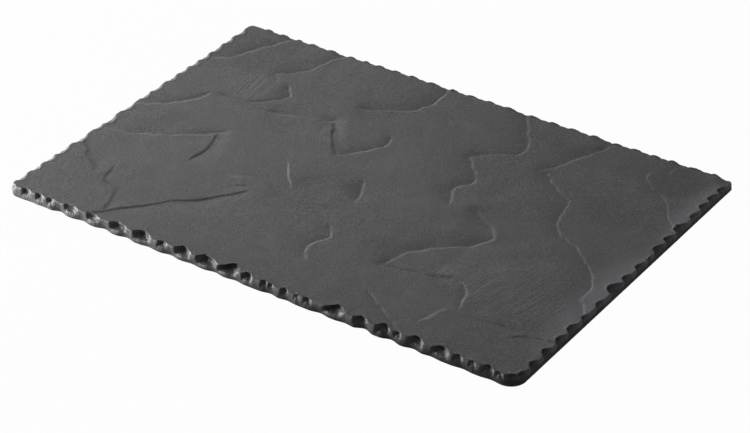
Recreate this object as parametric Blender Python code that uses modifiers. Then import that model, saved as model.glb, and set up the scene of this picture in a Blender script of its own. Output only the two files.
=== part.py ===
"""A rectangular serving plate of black ceramic, moulded like split slate, on four stick-on feet."""

import math
from typing import NamedTuple

import bmesh
import bpy
import numpy as np
from mathutils import Vector
from mathutils.geometry import delaunay_2d_cdt, interpolate_bezier

# Sizes are in millimetres, and MM turns them into metres. X runs along the plate and Y to its back.
MM = 0.001

# Slab, with the radii of its front right, back right, back left and front left corners
LENGTH = 300.0
WIDTH = 200.0
THICKNESS = 6.1
# Change of the thickness from the left side to the right
THINNING = -0.6
CORNER_RADII = (8.0, 5.0, 4.0, 4.5)

# Feet and the discs that bond them
FOOT_DIAMETER = 10.0
FOOT_TAPER = 0.4
FOOT_HEIGHT = 1.8
FOOT_ROUND = 0.6
FOOT_INSET = 26.0
FOOT_SIDES = 24
ADHESIVE_DIAMETER = 9.0
ADHESIVE_THICKNESS = 0.4
SEAT_GAP = 0.15
ADHESIVE_BOTTOM = FOOT_HEIGHT + SEAT_GAP
UNDERSIDE = ADHESIVE_BOTTOM + ADHESIVE_THICKNESS + SEAT_GAP

# Chips of the rim: middle, as x on the long sides and y on the short ones, width, bite into the top face
# and, where a chip leans, how far its foot lies behind its middle on the walk round the rim
FRONT_CHIPS = (
    (-146.8, 2.5, 1.3), (-138.3, 6, 1.9), (-129.7, 5, 2.0), (-122.6, 4.4, 1.6), (-109.3, 9.5, 2.2),
    (-95.2, 8.5, 2.1), (-79.2, 11, 3.2), (-64.3, 11.5, 3.8), (-50.8, 6, 2.2, 2), (-39.2, 10, 4.2),
    (-24.6, 13, 4.0), (-9.4, 11.5, 6.0, 6), (-0.4, 6.5, 3.4), (9.6, 4, 2.2), (13.6, 3, 1.8),
    (21.4, 3.8, 2.4), (28.8, 3, 1.2), (35, 5, 1.8), (52, 11.5, 4.8, 6), (65.4, 8, 3.2, 1.5),
    (77.4, 7.8, 4.2), (85.5, 4.4, 2.5), (95.4, 8.8, 4.2), (109.8, 10, 3.9, 2), (118.4, 5.4, 2.5),
    (126.2, 4, 2.1), (134.2, 7, 3.1), (140.6, 4.8, 1.9), (147, 8, 2.0),
)
RIGHT_CHIPS = (
    (-94.5, 8, 2.2), (-85.3, 7, 3.0), (-74.2, 7.5, 3.3), (-62.6, 9, 2.8), (-52.3, 8.5, 3.2),
    (-41.6, 5.5, 2.2), (-28.6, 7, 2.2), (-13.8, 11, 5.0), (-3.2, 7.5, 3.0), (8.4, 7.5, 2.6), (17, 4, 1.0),
    (26.4, 9, 3.2), (36.4, 7.5, 3.0), (47.4, 9.5, 3.8), (60.5, 7.5, 2.0), (70.5, 6.5, 2.4),
    (79.5, 7.5, 2.5), (88.5, 6, 1.8), (95, 4, 1.2),
)
BACK_CHIPS = (
    (137, 13, 2.0), (123, 12, 1.6), (111, 11, 2.0), (100, 11, 1.6), (89, 11, 2.0), (78, 12, 1.8),
    (65, 13, 2.0), (51, 12, 1.6), (40, 12, 1.9), (26, 13, 2.1), (13, 13, 1.8), (0, 12, 2.0), (-12, 12, 1.7),
    (-23, 12, 2.0), (-37, 12, 1.9), (-48, 11, 1.6), (-59, 11, 1.9), (-70, 10, 1.6), (-79, 10, 1.9),
    (-90, 11, 2.0), (-102, 12, 1.7), (-114, 11, 1.9), (-123, 10, 1.6), (-134, 10, 1.8), (-142, 8, 1.5),
)
LEFT_CHIPS = (
    (91, 9, 1.6), (81, 10, 1.8), (70, 11, 2.0), (59, 11, 1.7), (48, 9, 1.6), (40, 8, 1.6), (31, 10, 1.9),
    (20, 11, 1.8), (8, 12, 2.0), (-5, 13, 2.0), (-20, 13, 1.9), (-31, 12, 1.8), (-44, 13, 2.1),
    (-57, 13, 1.8), (-70, 12, 2.0), (-81, 10, 1.7), (-91, 9, 1.6),
)
CHIPS = (FRONT_CHIPS, RIGHT_CHIPS, BACK_CHIPS, LEFT_CHIPS)
# How evenly a chip hollows out on each side, where it is deepest as a share of its half width, and the
# inset of the ridges between chips at both ends of a side
HOLLOW_POWERS = (1.4, 1.2, 1.3, 1.3)
DEEPEST = (-0.32, 0.0, 0.0, 0.0)
RIDGES = ((1.2, 1.8), (1.0, 0.9), (1.0, 1.0), (1.0, 1.0))
# Floor of a chip as a share of the thickness, for no width, at both ends of a side, and its fall with each
# millimetre of width
FLOOR_TOPS = ((0.76, 1.0), (0.80, 0.80), (0.80, 0.80), (0.80, 0.80))
FLOOR_FALL = 0.025
# Troughs of the front lip: place and how far it draws in, and their half width
FRONT_TROUGHS = (
    (-135.5, 0.3), (-127, 0.3), (-117, 1.5), (-102.5, 1.2), (-88.5, 1.4), (-74.5, 1.3), (-60.5, 0.7),
    (-47, 1.0), (-34, 0.6), (-20, 1.0), (-7.5, 0.8), (13, 1.0), (23, 0.7), (42, 0.9), (56, 0.6), (66.5, 1.9),
    (81.5, 1.5), (94, 1.1), (104, 0.6), (121, 0.6), (136, 0.6),
)
TROUGH_REACH = 6.0

# Sections of the rim, each two Bezier curves: share of the bite or ridge, and share of the thickness
CHIP_SECTION = ((1.0, 1.0), (0.99, 0.72), (0.96, 0.54), (0.80, 0.50), (0.50, 0.46), (0.0, 0.48), (0.0, 0.10))
RIDGE_SECTION = ((1.0, 1.0), (0.5, 1.0), (0.08, 0.86), (0.0, 0.58), (0.0, 0.44), (0.0, 0.28), (0.0, 0.10))
SECTION_STEPS = (3, 3)
# Where the chip's section has its floor and its foot
SECTION_FLOOR = 0.50
SECTION_FOOT = 0.10
# Lip below the sections: inset and share of the thickness
LIP_SECTION = ((0.25, 0.03), (1.2, 0.0))
# Stations across a chip, as shares of its width, steps round a corner, and the least gap between stations
CHIP_STATIONS = (-0.5, -0.34, -0.17, 0.0, 0.17, 0.34, 0.5)
CORNER_STEPS = 3
STATION_GAP = 1.0

# Top face: spacing of its points, and how far they keep from the rim and from each other
TOP_SPACING = 7.0
BOTTOM_SPACING = 30.0
LEDGE_SPACING = 5.0
RIM_CLEARANCE = 2.0
POINT_CLEARANCE = 1.0
WELD = 0.001

# Broad swells of the top face: height, wavelength and heading in degrees
SWELLS = ((0.14, 190.0, 35.0), (0.10, 120.0, 110.0), (0.06, 75.0, 70.0))

# Upturn of the top face along the right side: where it starts and ends, and its rise
UPTURN_START = 126.0
UPTURN_END = 150.0
UPTURN = 0.2

# Ledges: share and reach of the crest over a riser, how its ends fade, and the step along its line
CREST_SHARE = 0.3
CREST_REACH = 14.0
END_FADE = 9.0
LINE_STEP = 1.0


class Ledge(NamedTuple):
    """A cleft step in the top face, with its high ground on the left of the walk along its points."""

    height: float
    run: float
    dip_reach: float
    points: tuple


# Ledges that face the left side, walked from the back to the front
LEFT_FACING = (
    Ledge(0.6, 3.0, 8.0, (
        (-112, 112), (-118, 98), (-123, 90), (-128, 80), (-133, 70), (-136, 63), (-147, 57), (-160, 52))),
    Ledge(0.6, 3.0, 8.0, (
        (-78, 112), (-83, 98), (-88, 90), (-90, 80), (-92, 74), (-98, 67), (-103, 62), (-100, 57),
        (-96, 53))),
    Ledge(1.2, 3.5, 14.0, (
        (-20, 114), (-17, 95), (-16, 85), (-18, 75), (-23, 68), (-31, 63), (-40, 58), (-50, 54))),
    Ledge(0.9, 2.6, 7.0, (
        (22, 112), (33, 95), (40, 84), (46, 75), (49, 68), (47, 61), (39, 56), (30, 48), (32, 43), (38, 37),
        (43, 31), (43, 25), (39, 18), (42, 10), (46, 2))),
    Ledge(0.9, 2.6, 7.0, (
        (90, 114), (84, 97), (80, 86), (76, 76), (71, 64), (67, 58), (73, 52), (81, 45), (89, 41), (94, 36),
        (95, 28), (98, 18), (105, 11), (114, 7), (121, 2), (130, -8), (137, -16), (139, -22), (140, -30),
        (146, -37), (158, -50))),
    Ledge(0.5, 1.8, 6.0, (
        (124, 114), (122, 95), (119, 87), (112, 83), (113, 78), (118, 73), (124, 69), (131, 65), (137, 57),
        (143, 49), (158, 34))),
    Ledge(0.7, 2.2, 6.0, (
        (-95, 58), (-87, 52), (-84, 47), (-85, 43), (-89, 37), (-96, 31), (-104, 29), (-114, 28),
        (-122, 28))),
    Ledge(0.6, 4.0, 9.0, ((-44, 41), (-52, 37), (-62, 34), (-75, 30), (-88, 27))),
    Ledge(0.8, 2.6, 9.0, ((-13, 42), (-13, 34), (-16, 27), (-20, 20), (-27, 13), (-33, 9))),
    Ledge(0.7, 2.6, 9.0, (
        (-122, 30), (-122, 23), (-126, 15), (-132, 7), (-140, 1), (-152, -6), (-164, -12))),
    Ledge(0.7, 3.5, 14.0, (
        (-86, 2), (-93, -5), (-99, -10), (-107, -15), (-116, -21), (-126, -26), (-140, -30), (-162, -36))),
    Ledge(0.8, 1.4, 3.0, ((-44, -8), (-41, -12), (-38, -16), (-34, -21), (-29, -25))),
    Ledge(0.6, 2.0, 6.0, ((-5, 0), (0, -6), (2, -11), (4, -16), (6, -21))),
    Ledge(0.6, 2.0, 5.0, ((6, -42), (10, -46), (12, -51), (11, -57), (9, -63), (13, -70), (16, -75))),
    Ledge(1.0, 4.0, 14.0, (
        (56, 9), (64, 5), (71, 0), (77, -6), (78, -12), (73, -20), (64, -27), (55, -36), (50, -45),
        (48, -54), (46, -62))),
    Ledge(0.4, 1.6, 4.0, ((70, -50), (78, -49), (88, -49), (93, -53), (95, -59), (98, -64), (99, -68))),
    Ledge(0.4, 3.0, 6.0, ((95, -70), (91, -76), (89, -83), (86, -90))),
    Ledge(0.6, 1.2, 3.0, ((48, -81), (60, -84), (68, -87), (76, -91), (84, -97), (92, -104))),
)
# Ledges that face the right side or the front, walked from the front to the back or to the right
RIGHT_FACING = (
    Ledge(0.9, 2.2, 6.0, ((-27, 10), (-31, 14), (-36, 18), (-41, 25), (-46, 32), (-50, 39))),
    Ledge(0.5, 2.2, 5.0, ((-89, -36), (-88, -28), (-87, -20), (-89, -13), (-92, -6), (-94, 0))),
    Ledge(0.3, 1.8, 10.0, (
        (-112, -110), (-97, -97), (-90, -89), (-84, -82), (-76, -74), (-72, -68), (-63, -61), (-56, -53),
        (-48, -43), (-43, -37))),
    Ledge(0.55, 2.6, 6.0, ((-122, -67), (-128, -62), (-135, -56), (-142, -50), (-152, -42))),
    Ledge(0.4, 1.8, 5.0, (
        (-93, -95), (-96, -87), (-98, -81), (-102, -75), (-110, -72), (-114, -69), (-115, -63),
        (-118, -56))),
    Ledge(0.5, 3.5, 6.0, ((44, -57), (54, -55), (65, -53), (76, -51), (84, -50))),
    Ledge(0.4, 2.0, 5.0, ((98, -72), (106, -71), (118, -69), (128, -67), (134, -66))),
    Ledge(0.4, 1.8, 5.0, ((126, -78), (130, -73), (138, -68.5), (146, -66.5), (160, -64))),
)
LEDGES = LEFT_FACING + RIGHT_FACING

# Finishes: colour, roughness and metallic value
CERAMIC_FINISH = ((0.068, 0.068, 0.069, 1.0), 0.55, 0.0)
SILICONE_FINISH = ((0.015, 0.015, 0.016, 1.0), 0.7, 0.0)
ADHESIVE_FINISH = ((0.55, 0.55, 0.52, 1.0), 0.4, 0.0)


def smoothstep(share):
    """Eased rise from 0 to 1."""
    share = np.clip(share, 0.0, 1.0)
    return share * share * (3.0 - 2.0 * share)


def smooth_line(points):
    """Points about LINE_STEP apart on a smooth curve through the given ones."""
    knots = [Vector(point) for point in points]
    knots = [2 * knots[0] - knots[1], *knots, 2 * knots[-1] - knots[-2]]
    line = []
    for before, start, end, after in zip(knots, knots[1:], knots[2:], knots[3:]):
        steps = max(2, round((end - start).length / LINE_STEP)) + 1
        leaving = start + (end - before) / 6
        arriving = end - (after - start) / 6
        line += interpolate_bezier(start, leaving, arriving, end, steps)[:-1]
    return np.array([tuple(point[:2]) for point in line])


def nearest_of(spots, others):
    """Index of the nearest of the others to each spot, and how far away it is."""
    apart = np.hypot(spots[:, :1] - others[:, 0], spots[:, 1:] - others[:, 1])
    nearest = apart.argmin(axis=1)
    return nearest, apart[np.arange(len(spots)), nearest]


def ledge_height(ledge, spots):
    """What one ledge adds at the spots: a crest on its high side, a dip on its low side."""
    line = smooth_line(ledge.points)
    ways = np.gradient(line, axis=0)
    nearest, away = nearest_of(spots, line)
    offset = spots - line[nearest]
    way = ways[nearest]
    turn = way[:, 0] * offset[:, 1] - way[:, 1] * offset[:, 0]
    high = smoothstep(0.5 + np.copysign(away, turn) / ledge.run)
    crest = CREST_SHARE * high * np.exp(-away / CREST_REACH)
    dip = (1.0 - CREST_SHARE) * (1.0 - high) * np.exp(-away / ledge.dip_reach)
    to_end = np.minimum(nearest, len(line) - 1 - nearest) * LINE_STEP
    return ledge.height * smoothstep(to_end / END_FADE) * (crest - dip)


def top_height(spots):
    """Height of the cleft top face over the underside."""
    height = THICKNESS + THINNING * spots[:, 0] / LENGTH
    for swell, wavelength, heading in SWELLS:
        angle = math.radians(heading)
        along = spots @ np.array((math.cos(angle), math.sin(angle)))
        height += swell * np.sin(2.0 * math.pi * along / wavelength)
    upturn = np.clip((spots[:, 0] - UPTURN_START) / (UPTURN_END - UPTURN_START), 0.0, 1.0)
    height += UPTURN * upturn ** 2
    for ledge in LEDGES:
        height += ledge_height(ledge, spots)
    return height


class Outline:
    """The rounded rectangle of the slab, walked from the left end of its front side."""

    def __init__(self):
        front_right, back_right, back_left, front_left = CORNER_RADII
        x = LENGTH / 2.0
        y = WIDTH / 2.0
        self.starts = ((front_left - x, -y), (x, front_right - y), (x - back_right, y), (-x, y - back_left))
        self.headings = ((1, 0), (0, 1), (-1, 0), (0, -1))
        self.straights = (LENGTH - front_left - front_right, WIDTH - front_right - back_right,
                          LENGTH - back_right - back_left, WIDTH - back_left - front_left)
        self.corners = [radius * math.pi / 2.0 for radius in CORNER_RADII]
        lengths = [straight + corner for straight, corner in zip(self.straights, self.corners)]
        self.side_starts = [sum(lengths[:side]) for side in range(len(lengths))]
        self.total = sum(lengths)

    def at(self, distances):
        """Points and outward directions at distances along the outline."""
        points = np.zeros((len(distances), 2))
        outwards = np.zeros((len(distances), 2))
        sides = np.searchsorted(self.side_starts, distances, side="right") - 1
        for side, radius in enumerate(CORNER_RADII):
            here = sides == side
            along = distances[here] - self.side_starts[side]
            turn = np.clip((along - self.straights[side]) / radius, 0.0, None)[:, None]
            heading = np.array(self.headings[side])
            outward = np.array((heading[1], -heading[0]))
            outwards[here] = outward * np.cos(turn) + heading * np.sin(turn)
            reach = np.clip(along, 0.0, self.straights[side])[:, None]
            centre = self.starts[side] + heading * reach - outward * radius
            points[here] = centre + outwards[here] * radius
        return points, outwards

    def along_sides(self, values, distances):
        """A value for both ends of each side at distances along the outline."""
        knots = []
        for start, straight in zip(self.side_starts, self.straights):
            knots += [start, start + straight]
        return np.interp(distances, knots, np.ravel(values), period=self.total)

    def lips(self, distances):
        """How far the troughs draw the lip in at distances along the outline."""
        lips = np.zeros(len(distances))
        for place, draw in FRONT_TROUGHS:
            offset = np.abs(distances - (place - self.starts[0][0]))
            lips = np.maximum(lips, draw * smoothstep(1.0 - offset / TROUGH_REACH))
        return lips

    def chips(self):
        """Distance along the outline, width, bite, lean and side of each chip."""
        for side, chips in enumerate(CHIPS):
            axis = 0 if self.headings[side][0] else 1
            for middle, width, bite, *lean in chips:
                along = (middle - self.starts[side][axis]) * self.headings[side][axis]
                yield self.side_starts[side] + along, width, bite, sum(lean), side

    def stations(self):
        """Distances along the outline where the rim has a section: a few to each chip and to each corner."""
        places = []
        for middle, width, *_ in self.chips():
            places += [(middle + share * width) % self.total for share in CHIP_STATIONS]
        for start, straight, corner in zip(self.side_starts, self.straights, self.corners):
            places += [start + straight + corner * step / CORNER_STEPS for step in range(CORNER_STEPS + 1)]
        kept = [0.0]
        for place in sorted(places):
            if kept[-1] + STATION_GAP < place < self.total - STATION_GAP:
                kept.append(place)
        return np.array(kept)

    def hollows(self, distances, height):
        """Hollowness, bite and floor of the chips at a height, as a share of the thickness."""
        hollows = np.zeros(len(distances))
        bites = np.zeros(len(distances))
        floors = np.full(len(distances), SECTION_FLOOR)
        floor_tops = self.along_sides(FLOOR_TOPS, distances)
        half = self.total / 2.0
        for middle, width, bite, lean, side in self.chips():
            place = middle - lean * (1.0 - height) + DEEPEST[side] * width / 2.0
            offset = (distances - place + half) % self.total - half
            reach = (1.0 - DEEPEST[side] * np.sign(offset)) * width / 2.0
            hollow = np.clip(1.0 - (offset / reach) ** 2, 0.0, 1.0) ** HOLLOW_POWERS[side]
            deeper = hollow > hollows
            bites[deeper] = bite
            floors[deeper] = floor_tops[deeper] - FLOOR_FALL * width
            hollows = np.maximum(hollows, hollow)
        return hollows, bites, floors


def chip_height(share, floors):
    """A height of the chip's section, fitted to the floors of the chips."""
    if share >= SECTION_FLOOR:
        return 1.0 - (1.0 - share) * (1.0 - floors) / (1.0 - SECTION_FLOOR)
    return SECTION_FOOT + (share - SECTION_FOOT) * (floors - SECTION_FOOT) / (SECTION_FLOOR - SECTION_FOOT)


def section(points):
    """Steps along a section made of Bezier curves that share their ends."""
    steps = []
    for index, count in enumerate(SECTION_STEPS):
        curve = [Vector((*point, 0.0)) for point in points[3 * index:3 * index + 4]]
        steps += interpolate_bezier(curve[0], curve[1], curve[2], curve[3], count + 1)[:-1]
    steps.append(Vector((*points[-1], 0.0)))
    return [tuple(step[:2]) for step in steps]


def rim_rings():
    """Rings of points from the arris of the top face over the chips and the lip to the underside."""
    outline = Outline()
    distances = outline.stations()
    points, outwards = outline.at(distances)
    ridges = outline.along_sides(RIDGES, distances)
    lips = outline.lips(distances)
    hollows, bites, _ = outline.hollows(distances, 1.0)
    tops = top_height(points - outwards * (hollows * bites + (1.0 - hollows) * ridges)[:, None])
    rings = []
    for chip, ridge in zip(section(CHIP_SECTION), section(RIDGE_SECTION)):
        hollows, bites, floors = outline.hollows(distances, chip[1])
        shares = hollows * chip_height(chip[1], floors) + (1.0 - hollows) * ridge[1]
        insets = hollows * bites * chip[0] + (1.0 - hollows) * ridges * ridge[0] + lips * (1.0 - shares ** 2)
        plan = points - outwards * insets[:, None]
        rings.append(np.column_stack((plan, tops * shares)))
    for inset, share in LIP_SECTION:
        plan = points - outwards * (lips + inset)[:, None]
        rings.append(np.column_stack((plan, tops * share)))
    return rings, outwards


def clear_of(spots, others, distance):
    """The spots that keep a distance from all the others."""
    return spots[nearest_of(spots, others)[1] > distance]


def inside_ring(spots, ring, outwards):
    """The spots that lie inside a closed ring and keep clear of it."""
    nearest, away = nearest_of(spots, ring)
    beyond = ((spots - ring[nearest]) * outwards[nearest]).sum(axis=1)
    return spots[(away > RIM_CLEARANCE) & (beyond < 0.0)]


def grid_spots(spacing):
    """A triangular grid of points over the slab."""
    rows = np.arange(-WIDTH / 2.0, WIDTH / 2.0, spacing * math.sqrt(3.0) / 2.0)
    columns = np.arange(-LENGTH / 2.0, LENGTH / 2.0, spacing)
    return np.array([(x + (row % 2) * spacing / 2.0, y) for row, y in enumerate(rows) for x in columns])


def top_spots(arris, outwards):
    """Points of the top face: the foot and the crest of every ledge, and a coarse grid between them."""
    spots = []
    for ledge in LEDGES:
        line = smooth_line(ledge.points)
        ways = np.gradient(line, axis=0)
        normals = np.column_stack((-ways[:, 1], ways[:, 0])) / np.hypot(ways[:, 0], ways[:, 1])[:, None]
        every = round(LEDGE_SPACING / LINE_STEP)
        for side in (-0.5, 0.5):
            spots += list((line + normals * side * ledge.run)[::every])
    spots = inside_ring(np.array(spots), arris, outwards)
    kept = spots[:1]
    for spot in spots[1:]:
        kept = np.vstack((kept, clear_of(spot[None], kept, POINT_CLEARANCE)))
    grid = clear_of(inside_ring(grid_spots(TOP_SPACING), arris, outwards), kept, TOP_SPACING / 2.0)
    return np.vstack((kept, grid))


def add_cap(mesh, ring, spots, height_of):
    """Triangles between a closed ring and the spots inside it, at the heights that a function gives."""
    places = [Vector(spot) for spot in (*ring, *spots)]
    edges = [(index, (index + 1) % len(ring)) for index in range(len(ring))]
    points, _, faces, *_ = delaunay_2d_cdt(places, edges, [], 1, 1e-6)
    plan = np.array([tuple(point) for point in points])
    corners = [mesh.verts.new(corner) for corner in np.column_stack((plan, height_of(plan)))]
    for face in faces:
        mesh.faces.new([corners[index] for index in face])


def add_rim(mesh, rings):
    """The loft from ring to ring."""
    loops = [[mesh.verts.new(corner) for corner in ring] for ring in rings]
    for upper, lower in zip(loops, loops[1:]):
        for index in range(len(upper)):
            mesh.faces.new((upper[index - 1], upper[index], lower[index], lower[index - 1]))


def principled(name, finish):
    """A material with one colour, roughness and metallic value."""
    colour, roughness, metallic = finish
    material = bpy.data.materials.new(name)
    material.use_nodes = True
    shader = material.node_tree.nodes["Principled BSDF"]
    shader.inputs["Base Color"].default_value = colour
    shader.inputs["Roughness"].default_value = roughness
    shader.inputs["Metallic"].default_value = metallic
    return material


def add_part(name, mesh, material, collection, parent=None):
    """An object for a mesh that is made in millimetres."""
    data = bpy.data.meshes.new(name)
    bmesh.ops.scale(mesh, vec=(MM, MM, MM), verts=mesh.verts)
    mesh.to_mesh(data)
    mesh.free()
    data.shade_smooth()
    data.set_sharp_from_angle(angle=math.radians(40.0))
    data.materials.append(material)
    part = bpy.data.objects.new(name, data)
    part.parent = parent
    collection.objects.link(part)
    return part


def build_plate(collection):
    """The slab: cleft top, chipped rim and flat underside, with its middle over the origin."""
    mesh = bmesh.new()
    rings, outwards = rim_rings()
    arris = rings[0][:, :2]
    sole = rings[-1][:, :2]
    add_rim(mesh, rings)
    add_cap(mesh, arris, top_spots(arris, outwards), top_height)
    spots = inside_ring(grid_spots(BOTTOM_SPACING), sole, outwards)
    add_cap(mesh, sole, spots, lambda plan: np.zeros(len(plan)))
    bmesh.ops.remove_doubles(mesh, verts=mesh.verts, dist=WELD)
    bmesh.ops.recalc_face_normals(mesh, faces=mesh.faces)
    plate = add_part("plate_body", mesh, principled("black_ceramic", CERAMIC_FINISH), collection)
    plate.location.z = UNDERSIDE * MM
    return plate


def foot_profile():
    """Half section of a foot, from the axis at its top down its side to the axis at its bottom."""
    radius = FOOT_DIAMETER / 2.0
    low = radius - FOOT_TAPER
    side = [(0.0, FOOT_HEIGHT), (radius, FOOT_HEIGHT)]
    for turn in (0.0, 45.0, 90.0):
        angle = math.radians(turn)
        side.append((low - FOOT_ROUND * (1.0 - math.cos(angle)), FOOT_ROUND * (1.0 - math.sin(angle))))
    return [*side, (0.0, 0.0)]


def build_foot(name, place, material, collection, parent):
    """A low silicone foot, turned from its half section."""
    mesh = bmesh.new()
    corners = [mesh.verts.new((x, 0.0, z)) for x, z in foot_profile()]
    for start, end in zip(corners, corners[1:]):
        mesh.edges.new((start, end))
    foot = add_part(name, mesh, material, collection, parent)
    foot.location = (place[0] * MM, place[1] * MM, -UNDERSIDE * MM)
    screw = foot.modifiers.new("turned", "SCREW")
    screw.steps = FOOT_SIDES
    screw.render_steps = FOOT_SIDES
    screw.use_merge_vertices = True
    screw.merge_threshold = 0.00001
    return foot


def build_adhesive(name, place, material, collection, parent):
    """The thin double-sided disc between a foot and the slab."""
    mesh = bmesh.new()
    radius = ADHESIVE_DIAMETER / 2.0
    bmesh.ops.create_cone(mesh, cap_ends=True, segments=FOOT_SIDES, radius1=radius, radius2=radius,
                          depth=ADHESIVE_THICKNESS)
    disc = add_part(name, mesh, material, collection, parent)
    middle = ADHESIVE_BOTTOM + ADHESIVE_THICKNESS / 2.0 - UNDERSIDE
    disc.location = (place[0] * MM, place[1] * MM, middle * MM)
    return disc


def main():
    """The plate, with a foot and its disc near each corner."""
    for leftover in list(bpy.data.objects):
        bpy.data.objects.remove(leftover)
    collection = bpy.data.collections.new("slate_plate")
    bpy.context.scene.collection.children.link(collection)
    plate = build_plate(collection)
    silicone = principled("silicone", SILICONE_FINISH)
    adhesive = principled("adhesive", ADHESIVE_FINISH)
    for depth, y in (("front", -WIDTH / 2.0 + FOOT_INSET), ("back", WIDTH / 2.0 - FOOT_INSET)):
        for side, x in (("left", -LENGTH / 2.0 + FOOT_INSET), ("right", LENGTH / 2.0 - FOOT_INSET)):
            build_foot(f"foot_{depth}_{side}", (x, y), silicone, collection, plate)
            build_adhesive(f"adhesive_{depth}_{side}", (x, y), adhesive, collection, plate)


main()
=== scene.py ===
"""Looks of a rectangular ceramic plate moulded like split slate, laid out as a Blender add-on."""

import math
from typing import NamedTuple

import bmesh
import bpy
import numpy as np
from bpy.props import FloatProperty, FloatVectorProperty, IntProperty, PointerProperty
from mathutils import Matrix, Vector, noise
from mathutils.geometry import delaunay_2d_cdt, interpolate_bezier


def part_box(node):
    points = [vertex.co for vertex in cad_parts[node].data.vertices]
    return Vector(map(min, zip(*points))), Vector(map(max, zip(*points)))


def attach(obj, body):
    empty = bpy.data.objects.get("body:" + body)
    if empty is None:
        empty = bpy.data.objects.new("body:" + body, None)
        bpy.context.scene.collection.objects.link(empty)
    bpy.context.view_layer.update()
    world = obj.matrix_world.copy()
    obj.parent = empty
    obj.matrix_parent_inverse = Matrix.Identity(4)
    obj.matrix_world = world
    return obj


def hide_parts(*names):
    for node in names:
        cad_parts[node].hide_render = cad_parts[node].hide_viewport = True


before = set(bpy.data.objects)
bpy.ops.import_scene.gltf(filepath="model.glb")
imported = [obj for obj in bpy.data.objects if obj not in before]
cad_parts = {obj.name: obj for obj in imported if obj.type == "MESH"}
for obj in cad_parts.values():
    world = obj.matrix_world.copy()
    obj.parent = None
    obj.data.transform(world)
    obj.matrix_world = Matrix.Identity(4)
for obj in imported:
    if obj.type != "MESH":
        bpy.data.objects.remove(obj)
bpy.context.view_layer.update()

bl_info = {
    "name": "Slate plate",
    "version": (1, 0, 0),
    "blender": (4, 5, 0),
    "location": "3D View > Sidebar > Plate",
    "description": "Builds a rectangular plate moulded like split slate, with its feet and studio stage",
    "category": "Object",
}

MM = 0.001
BODY = "root"
CORNERS = ("front_left", "front_right", "back_left", "back_right")

# Width of the photograph in pixels, and of the camera's sensor in millimetres
IMAGE_WIDTH = 750
SENSOR_WIDTH = 36.0

# The walk round the rim goes along the front, right, back and left side
FRONT = 0
# Chips of the rim in millimetres: middle, as x on the long sides and y on the short ones, width, bite into
# the top face and, where a chip leans, how far its foot lies behind its middle on the walk round the rim
FRONT_CHIPS = (
    (-146.8, 2.5, 1.3), (-138.3, 6, 1.9), (-129.7, 5, 2.0), (-122.6, 4.4, 1.6), (-109.3, 9.5, 2.2),
    (-95.2, 8.5, 2.1), (-79.2, 11, 3.2), (-64.3, 11.5, 3.8), (-50.8, 6, 2.2, 2), (-39.2, 10, 4.2),
    (-24.6, 13, 4.0), (-9.4, 11.5, 6.0, 6), (-0.4, 6.5, 3.4), (9.6, 4, 2.2), (13.6, 3, 1.8),
    (21.4, 3.8, 2.4), (28.8, 3, 1.2), (35, 5, 1.8), (52, 11.5, 4.8, 6), (65.4, 8, 3.2, 1.5),
    (77.4, 7.8, 4.2), (85.5, 4.4, 2.5), (95.4, 8.8, 4.2), (109.8, 10, 3.9, 2), (118.4, 5.4, 2.5),
    (126.2, 4, 2.1), (134.2, 7, 3.1), (140.6, 4.8, 1.9), (147, 8, 2.0),
)
RIGHT_CHIPS = (
    (-94.5, 8, 1.8), (-85.3, 7, 2.6), (-74.2, 7.5, 2.9), (-62.6, 9, 2.4), (-52.3, 8.5, 2.8),
    (-41.6, 5.5, 1.8), (-28.6, 7, 1.8), (-13.8, 11, 4.6), (-3.2, 7.5, 2.6), (8.4, 7.5, 2.2), (17, 4, 0.6),
    (26.4, 9, 2.8), (36.4, 7.5, 2.6), (47.4, 9.5, 3.4), (60.5, 7.5, 1.8), (70.5, 7.5, 2.4),
    (79.5, 8, 2.5), (88.5, 7.5, 2.3),
)
BACK_CHIPS = (
    (141, 10, 2.0), (130, 14, 2.8), (117.5, 11, 2.6), (107, 10, 2.8), (96, 12, 2.4), (85, 10, 2.7),
    (73, 14, 3.0), (59.5, 13, 2.6), (47.5, 11, 2.8), (35, 14, 2.9), (21, 14, 2.6), (8.5, 11, 2.4),
    (-3, 12, 2.8), (-14.5, 11, 2.7), (-27, 14, 2.9), (-40, 12, 2.6), (-51, 10, 2.3), (-61.5, 11, 2.6),
    (-71, 8, 2.4), (-80.5, 11, 2.6), (-92.5, 13, 2.9), (-105.5, 13, 2.6), (-116, 8, 2.2),
    (-125.5, 11, 2.7), (-136, 10, 2.5),
)
LEFT_CHIPS = (
    (88, 9, 3.7), (77, 9, 4.0), (67, 10, 4.0), (56, 9, 4.1), (47, 8, 4.0), (38, 8, 4.0), (28, 9, 4.1),
    (16, 11, 4.1), (6, 9, 3.8), (-8, 12, 4.0), (-23, 12, 4.6), (-32, 8, 3.7), (-46, 13, 4.3),
    (-60, 12, 4.0), (-70, 9, 3.8), (-80, 9, 3.8), (-91, 9, 3.9),
)
CHIPS = (FRONT_CHIPS, RIGHT_CHIPS, BACK_CHIPS, LEFT_CHIPS)
# How evenly a chip hollows out, where it is deepest as a share of its half width, and the inset of the
# ridges between chips, each at both ends of each side
HOLLOW_POWERS = ((1.4, 1.4), (1.2, 0.8), (1.3, 1.3), (1.6, 1.6))
DEEPEST = ((-0.32, -0.32), (0.1, -0.6), (0.3, 0.3), (0.2, 0.2))
RIDGES = ((1.2, 1.8), (0.3, 0.3), (1.9, 2.3), (1.9, 1.6))
# Floor of a chip as a share of the thickness, for no width, at both ends of each side, and its fall with
# each millimetre of width
FLOOR_TOPS = ((0.76, 1.0), (0.80, 0.80), (0.80, 0.80), (0.80, 0.80))
FLOOR_FALL = 0.025
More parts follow.
